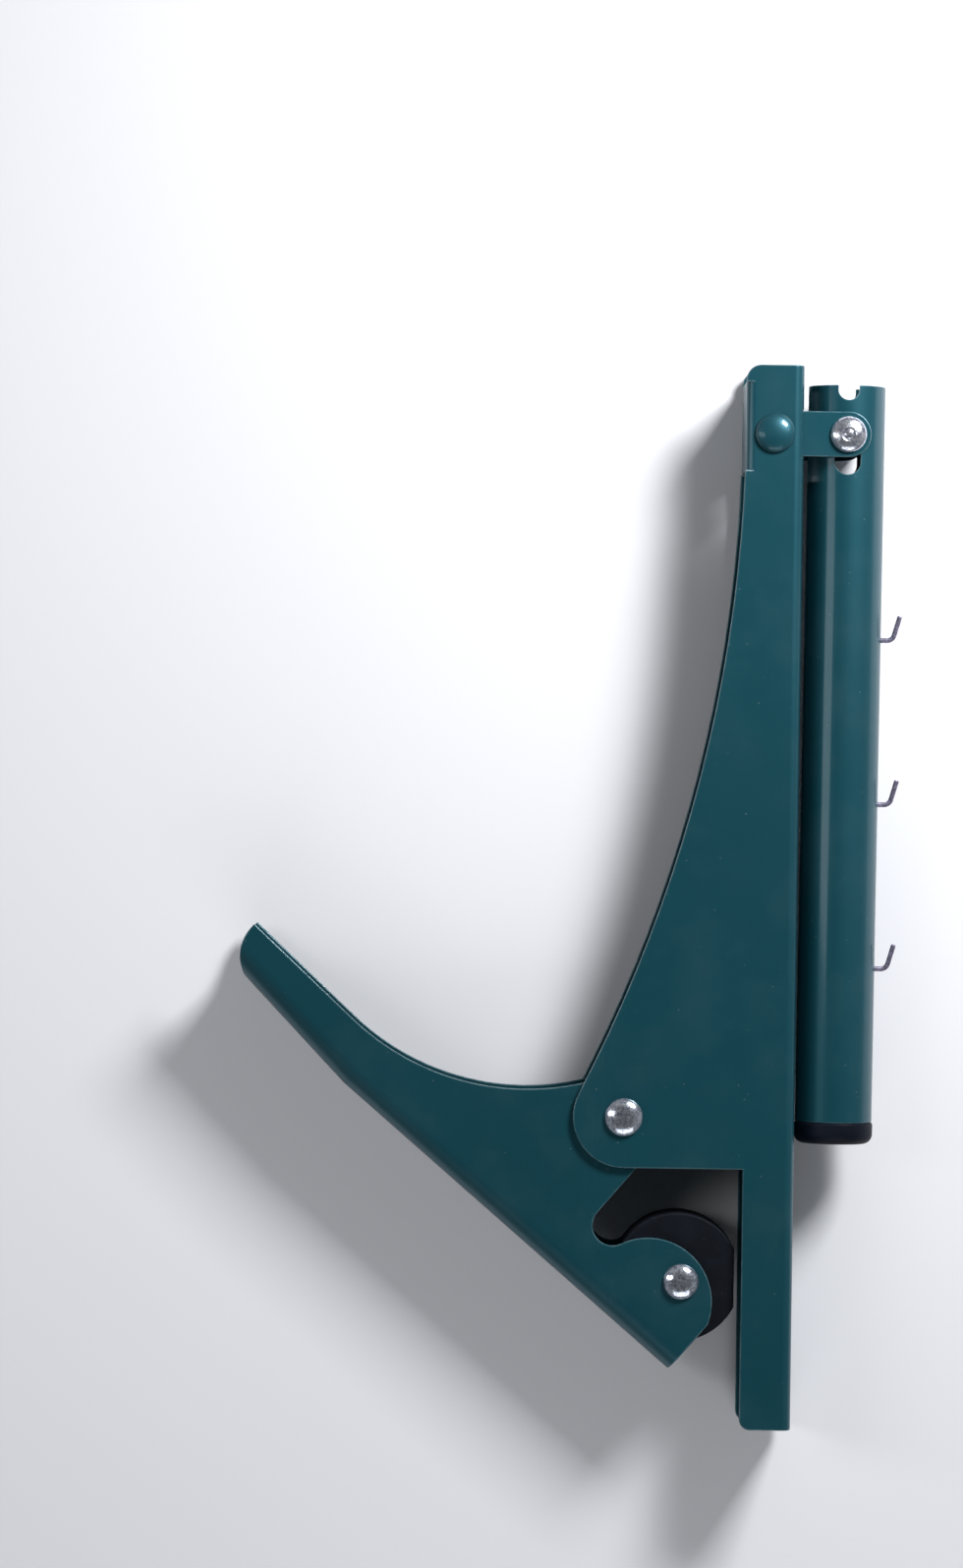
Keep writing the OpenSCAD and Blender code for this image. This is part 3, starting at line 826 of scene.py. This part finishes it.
@dataclass
class Rivets:
    """The four rivets, turned about their own axes.

    A peened head has a ring round its middle. The ring's radii are parts of
    the head's radius, and the other lengths are in millimetres.
    """

    layout: Layout
    rim: float = 0.2
    dome_steps: int = 16
    button: Sequence[Point] = ((2.5, 0), (2.5, 0.32), (2.44, 0.44), (2.3, 0.5), (0, 0.5))
    ring_outer: float = 0.42
    ring_inner: float = 0.26
    ring_depth: float = 0.16
    beaten: float = 0.12

    def build(self) -> list[Object]:
        """Returns the turned and finished rivets."""
        axes = self.layout
        places = (axes.pivot, axes.jaw, axes.post, axes.link)
        return [self._turn(size, at) for size, at in zip(RIVETS, places)]

    def _turn(self, size: RivetSize, at: Vector) -> Object:
        """Returns one rivet: its profile runs from the bottom head to the top."""
        low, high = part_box(size.node)
        seat_low = (low.z - at.z) / MM + self._height(size, size.bottom)
        seat_high = (high.z - at.z) / MM - self._height(size, size.top)
        below = [(r, seat_low - d) for r, d in self._head(size, size.bottom)]
        above = [(r, seat_high + d) for r, d in self._head(size, size.top)]
        shank = [(size.shank / 2, seat_low), (size.shank / 2, seat_high)]
        piece = Bench.turned(f"{size.node}_turned", below[::-1] + shank + above, at)
        Bench.smooth(piece, 50)
        size.finish.on(piece)
        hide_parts(size.node)
        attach(piece, size.body)
        return piece

    def _height(self, size: RivetSize, head: Head) -> float:
        """Returns how high a head stands off its seat."""
        return self.button[-1][1] if head is Head.BUTTON else size.height

    def _head(self, size: RivetSize, head: Head) -> list[Point]:
        """Returns a head's profile as (radius, height over its seat), from rim to centre."""
        if head is Head.BUTTON:
            return list(self.button)
        radius, rise = size.width / 2, size.height - self.rim
        turns = [math.pi / 2 * i / self.dome_steps for i in range(self.dome_steps + 1)]
        dome = [(radius * math.cos(a), self.rim + rise * math.sin(a)) for a in turns]
        foot = [(radius - 0.4, 0), (radius - 0.14, 0.06)]
        if head is Head.DOME:
            return foot + dome
        outer, inner = self.ring_outer * radius, self.ring_inner * radius
        flat = size.height - self.beaten
        return [
            *foot,
            *((r, h) for r, h in dome if r > outer + 0.1),
            (outer, flat - 0.02),
            (0.9 * outer, flat - self.ring_depth),
            (1.1 * inner, flat - self.ring_depth),
            (inner, flat - 0.04),
            (0.5 * inner, size.height - 0.01),
            (0, size.height),
        ]


@dataclass
class JawPad:
    """The rubber pad that turns on the jaw rivet."""

    layout: Layout
    radius: float = 13.0
    centre: Point = (-0.8, 0.8)
    flat: float = 10.75
    half: float = 7.9
    rim: float = 0.5
    bore: float = 2.08
    back: float = 11.81
    front: float = 29.0
    shoulder: float = 6.9
    outline_steps: int = 240
    drill: float = 30.0

    def build(self) -> list[Object]:
        """Returns the moulded pad: drawn, raised, rimmed, bored and finished."""
        at = self.layout.jaw
        outline = self._outline()
        low = Vector((0, 0, -self.half))
        places = [at + (Vector((*p, 0)) + low) * MM for p in [*outline, outline[0]]]
        pad = Bench.drawn("jaw_pad_moulded", places)
        with Bench.editing(pad, whole=True):
            bpy.ops.mesh.remove_doubles(threshold=FUSE)
            bpy.ops.mesh.edge_face_add()
            Bench.extrude((0, 0, 2 * self.half * MM))
        Bench.close_up(pad)
        Bench.round_edges(pad, self.rim, angle=60, steps=4)
        Bench.cut(pad, Bench.rod("bore_cutter", self.bore * MM, self.drill * MM, at))
        Bench.smooth(pad, 35)
        RUBBER.on(pad)
        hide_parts("jaw_pad")
        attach(pad, "pad")
        return [pad]

    def _outline(self) -> list[Point]:
        """Returns the pad's outline about the bore, in millimetres.

        It follows the large disc, the flat that cuts it on one side, and the
        smaller back between the two shoulders.
        """
        turn, centre = math.radians(self.front), Vector(self.centre)
        ahead = Vector((math.cos(turn), math.sin(turn)))
        points = []
        for k in range(self.outline_steps):
            way = math.tau * k / self.outline_steps
            ray = Vector((math.cos(way), math.sin(way)))
            along = ray.dot(centre)
            reach = along + math.sqrt(self.radius**2 - centre.length_squared + along**2)
            if ray.dot(ahead) * reach < -self.shoulder:
                reach = max(self.back, min(reach, -self.shoulder / ray.dot(ahead)))
            if ray.x * reach > self.flat:
                reach = self.flat / ray.x
            points.append((ray.x * reach, ray.y * reach))
        return points


@dataclass
class NetPost:
    """The post's slotted tube and its cap.

    The slot's and the notch's ends are counted from the tube's foot, and the
    notch starts before it, so that it is open.
    """

    layout: Layout
    outer: float = 15.6
    wall: float = 1.2
    sides: int = 100
    foot: float = 10.086
    length: float = 149.4
    slot_width: float = 5.2
    slot_near: float = 5.786
    slot_far: float = 18.086
    notch_width: float = 4.2
    notch_near: float = -6.0
    notch_far: float = 3.0
    hook_hole: float = 1.04
    hook_side: float = 6.0
    hook_drill: float = 8.0
    drill: float = 30.0
    edge_round: float = 0.18
    cap_radius: float = 8.0
    cap_head: float = 4.4
    cap_length: float = 13.4
    cap_bend: float = 2.0
    cap_play: float = 0.05

    def build(self) -> list[Object]:
        """Returns the tube and the cap."""
        return [self._tube(), self._cap()]

    def _tube(self) -> Object:
        """Returns the tube, slotted for its rivet and notched at its foot."""
        at = self.layout.post
        foot = at.y + self.foot * MM
        tube = Bench.rod(
            "post_tube_cut",
            self.outer / 2 * MM,
            self.length * MM,
            Vector((at.x, foot - self.length / 2 * MM, at.z)),
            vertices=self.sides,
            end_fill_type="NOTHING",
            rotation=(math.pi / 2, 0, 0),
        )
        Bench.modify(tube, "SOLIDIFY", thickness=self.wall * MM, offset=-1, use_even_offset=True)
        for name, width, near, far in (
            ("slot", self.slot_width, self.slot_near, self.slot_far),
            ("notch", self.notch_width, self.notch_near, self.notch_far),
        ):
            top = Vector((at.x, foot - (near + width / 2) * MM, at.z))
            end = Vector((at.x, foot - (far - width / 2) * MM, at.z))
            block = Bench.slot_block(f"{name}_cutter", width * MM, end, top, self.drill * MM)
            Bench.cut(tube, block)
        for place in self.layout.hooks.values():
            drill = Bench.rod(
                "hook_cutter",
                self.hook_hole / 2 * MM,
                self.hook_drill * MM,
                Vector((at.x + self.hook_side * MM, at.y + place * MM, at.z)),
                vertices=24,
                rotation=(0, math.pi / 2, 0),
            )
            Bench.cut(tube, drill)
        Bench.round_edges(tube, self.edge_round, angle=40)
        Bench.close_up(tube)
        Bench.smooth(tube, 32)
        Bench.lean(tube, self.layout)
        ENAMEL.on(tube)
        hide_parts("post_tube")
        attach(tube, "post")
        return tube

    def _cap(self) -> Object:
        """Returns the moulded cap: a rounded head and the plug in the tube."""
        radius, head, length = self.cap_radius, self.cap_head, self.cap_length
        plug = self.outer / 2 - self.wall - self.cap_play
        bend = self.cap_bend
        arc = [math.radians(a) for a in range(0, 91, 10)]
        corner = [(radius - bend * (1 - math.sin(a)), bend * (1 - math.cos(a))) for a in arc]
        profile = [
            (0, 0.0),
            *corner,
            (radius, head - 0.5),
            (radius - 0.12, head - 0.2),
            (radius - 0.5, head),
            (plug, head),
            (plug, length - 0.8),
            (plug - 0.6, length),
            (0, length),
        ]
        top = self.layout.post + Vector((0, self.foot - self.length - head, 0)) * MM
        cap = Bench.turned("post_cap_moulded", profile, top, along="Y", steps=96)
        Bench.smooth(cap, 40)
        Bench.lean(cap, self.layout)
        PLASTIC.on(cap)
        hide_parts("post_cap")
        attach(cap, "post")
        return cap


@dataclass
class NetHooks:
    """The three bent wires that hold the net on the post.

    The tip is rounded in steps, each with its length and how far it narrows.
    """

    layout: Layout
    wire: float = 1.0
    sides: int = 20
    start: float = 5.7
    elbow: float = 10.2
    bend: float = 1.5
    lean: float = 16.0
    finger: float = 5.2
    tip_length: float = 0.25
    tip: Sequence[Point] = ((0.17, 0.86), (0.08, 0.6))

    def build(self) -> list[Object]:
        """Returns the three hooks, each bent from its own wire."""
        return [self._bend_wire(node) for node in self.layout.hooks]

    def _bend_wire(self, node: str) -> Object:
        """Returns one hook: a foot through the tube, a bend and a finger."""
        at = self.layout.post
        y = at.y + self.layout.hooks[node] * MM
        start = Vector((at.x + self.start * MM, y, at.z))
        lean, turn = math.radians(self.lean), math.radians(90 - self.lean)
        reach = self.bend * math.tan(turn / 2)
        Bench.clear_selection()
        bpy.ops.mesh.primitive_circle_add(
            vertices=self.sides,
            radius=self.wire / 2 * MM,
            fill_type="NGON",
            location=start,
            rotation=(0, math.pi / 2, 0),
        )
        hook = Bench.settle(Bench.named(f"{node}_wire"))
        corner = at.x + self.elbow * MM - reach * MM
        with Bench.editing(hook, "FACE", whole=True):
            Bench.extrude((corner - start.x, 0, 0))
            centre = (corner, y + self.bend * MM, at.z)
            bpy.ops.mesh.spin(steps=10, angle=-turn, center=centre, axis=(0, 0, 1))
            heading = Vector((math.sin(lean), math.cos(lean), 0))
            straight = (self.finger - reach - self.tip_length) * MM
            Bench.extrude(heading * straight)
            for length, width in self.tip:
                Bench.extrude(heading * length * MM)
                bpy.ops.transform.resize(value=(width, width, width))
        Bench.close_up(hook)
        Bench.smooth(hook, 60)
        Bench.lean(hook, self.layout)
        HOOK_WIRE.on(hook)
        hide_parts(node)
        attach(hook, "post")
        return hook


@dataclass
class TorsionSpring:
    """The spring round the pivot rivet, with a leg on each web.

    The feet, where the legs bear, are millimetres from the pivot.
    """

    layout: Layout
    wire: float = 2.2
    coil: float = 4.1
    turns: int = 4
    turn_steps: int = 40
    corner_steps: int = 8
    rise: float = 12.6
    body_foot: Point = (32.15, 44.0)
    lever_foot: Point = (-46.585, 0.967)
    lever_heading: float = 139.4
    leg_end: float = 8.0

    def build(self) -> list[Object]:
        """Returns the spring, wound round the pivot with one leg on each web."""
        pivot = self.layout.pivot
        places = [pivot + Vector(p) * MM for p in self._path()]
        spring = Bench.wire("torsion_spring_wire", places, self.wire)
        Bench.smooth(spring, 50)
        SPRING_WIRE.on(spring)
        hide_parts("torsion_spring")
        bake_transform(spring)
        return [spring]

    def _path(self) -> list[Point]:
        """Returns the wire's centre line round the pivot, in millimetres."""
        low, high = -self.rise / 2, self.rise / 2
        start = self._tangent(self.body_foot, -1)
        end = self._tangent(self.lever_foot, 1)
        sweep = (start - end) % 360 + 360 * self.turns
        count = round(sweep / 360 * self.turn_steps)
        coil = []
        for i in range(count + 1):
            a = math.radians(start - sweep * i / count)
            height = low + self.rise * i / count
            coil.append((self.coil * math.cos(a), self.coil * math.sin(a), height))
        way = math.radians(self.lever_heading)
        body_end = (self.body_foot[0], self.body_foot[1] + self.leg_end)
        lever_end = (
            self.lever_foot[0] + self.leg_end * math.cos(way),
            self.lever_foot[1] + self.leg_end * math.sin(way),
        )
        return [
            (*body_end, low),
            *self._corner(body_end, self.body_foot, coil[0][:2], low),
            *coil,
            *self._corner(coil[-1][:2], self.lever_foot, lever_end, high),
            (*lever_end, high),
        ]

    def _tangent(self, foot: Point, side: int) -> float:
        """Returns the angle on the coil, in degrees, where the leg to a foot leaves it."""
        away = math.degrees(math.atan2(foot[1], foot[0]))
        return away + side * math.degrees(math.acos(self.coil / math.hypot(foot[0], foot[1])))

    def _corner(
        self, a: Point, at: Point, b: Point, height: float, reach: float = 3.0
    ) -> list[Point]:
        """Returns a smooth bend at a corner between two straight runs."""
        corner, rows = Vector(at), []
        low = corner + (Vector(a) - corner).normalized() * reach
        high = corner + (Vector(b) - corner).normalized() * reach
        for i in range(self.corner_steps + 1):
            t = i / self.corner_steps
            p = low * (1 - t) ** 2 + corner * 2 * t * (1 - t) + high * t**2
            rows.append((p.x, p.y, height))
        return rows


# ---------------- studio


@dataclass(frozen=True)
class SoftBox:
    """One soft box, in millimetres and watts, and the point that it faces."""

    name: str
    at: Point
    size: Point
    power: float
    target: Point


@dataclass
class Studio:
    """A pale floor, soft boxes and the camera straight above the clamp.

    The world's light goes from the walls' to the ceiling's between two
    heights of the looked-at direction, 0 for level and 1 for straight up.
    """

    eye: Point = (-18.379, 22.129, 1352.65)
    roll: float = 0.80
    view_length: float = 319.0
    eye_height: float = 1340.0
    sensor: float = 36.0
    floor_width: float = 6000.0
    floor_drop: float = 0.2
    floor_roughness: float = 0.7
    floor_colour: Colour = (222, 223, 228)
    wall_light: float = 0.21
    wall_top: float = 0.55
    ceiling_light: float = 0.03
    ceiling_edge: float = 0.93
    world_colour: Sequence[float] = (0.94, 0.96, 1.0, 1)
    boxes: tuple[SoftBox, ...] = (
        SoftBox("key_box", (235, 300, 285), (134, 134), 3.4, (10, 20, 10)),
        SoftBox("side_box", (-430, 60, 390), (150, 440), 0.75, (10, 0, 10)),
        SoftBox("low_strip", (60, -560, 340), (620, 340), 1.25, (10, 0, 10)),
    )

    def build(self) -> None:
        """Sets up the floor, the lights and the camera."""
        self._floor()
        for box in self.boxes:
            self._light(box)
        self._world()
        self._camera()

    def _floor(self) -> None:
        """Lays the pale floor under the clamp."""
        Bench.clear_selection()
        low = (0, 0, -self.floor_drop * MM)
        bpy.ops.mesh.primitive_plane_add(size=self.floor_width * MM, location=low)
        floor = Bench.settle(Bench.named("floor"))
        made = bpy.data.materials.new("floor_card")
        made.use_nodes = True
        shader = made.node_tree.nodes["Principled BSDF"]
        shader.inputs["Base Color"].default_value = rgba(self.floor_colour)
        shader.inputs["Roughness"].default_value = self.floor_roughness
        floor.data.materials.append(made)

    @staticmethod
    def _light(box: SoftBox) -> None:
        """Adds a soft box."""
        Bench.clear_selection()
        place, aim = Vector(box.at) * MM, Vector(box.target) * MM
        turn = (aim - place).to_track_quat("-Z", "Y").to_euler()
        bpy.ops.object.light_add(type="AREA", location=place, rotation=turn)
        lamp = bpy.context.active_object
        lamp.name = box.name
        lamp.data.shape = "RECTANGLE"
        lamp.data.size, lamp.data.size_y = (side * MM for side in box.size)
        lamp.data.energy = box.power

    def _world(self) -> None:
        """Fills the room with dim light from its walls, under a dark ceiling."""
        world = bpy.data.worlds.new("studio_room")
        bpy.context.scene.world = world
        world.use_nodes = True
        graph = Graph(world.node_tree)
        back = world.node_tree.nodes["Background"]
        back.inputs["Color"].default_value = self.world_colour
        way = graph.add("TexCoord").outputs["Generated"]
        up = graph.add("SeparateXYZ", {0: way}).outputs["Z"]
        span = (self.wall_top, self.ceiling_edge, self.wall_light, self.ceiling_light)
        strength = graph.ramp(up, *span)
        world.node_tree.links.new(strength, back.inputs["Strength"])

    def _camera(self) -> None:
        """Hangs the camera over the clamp, as far off as the frame needs."""
        Bench.clear_selection()
        turn = (0, 0, math.radians(self.roll))
        bpy.ops.object.camera_add(location=Vector(self.eye) * MM, rotation=turn)
        camera = bpy.context.active_object
        camera.name = "camera"
        camera.data.sensor_width = self.sensor
        camera.data.lens = self.sensor * self.eye_height / self.view_length
        camera.data.clip_start, camera.data.clip_end = 0.05, 10
        scene = bpy.context.scene
        scene.camera = camera
        scene.view_settings.view_transform = "Standard"
        scene.view_settings.look = "None"


# ---------------- build


def main() -> None:
    """Builds each sub-assembly in order and reports its pieces."""
    logging.basicConfig(level=logging.INFO, format="%(message)s")
    layout = Layout()
    Studio().build()
    for part in (
        Pressings(),
        Rivets(layout),
        JawPad(layout),
        NetPost(layout),
        NetHooks(layout),
        TorsionSpring(layout),
    ):
        for piece in part.build():
            log.info("%s: %s, %d faces", type(part).__name__, piece.name, len(piece.data.polygons))


if __name__ == "__main__":
    main()
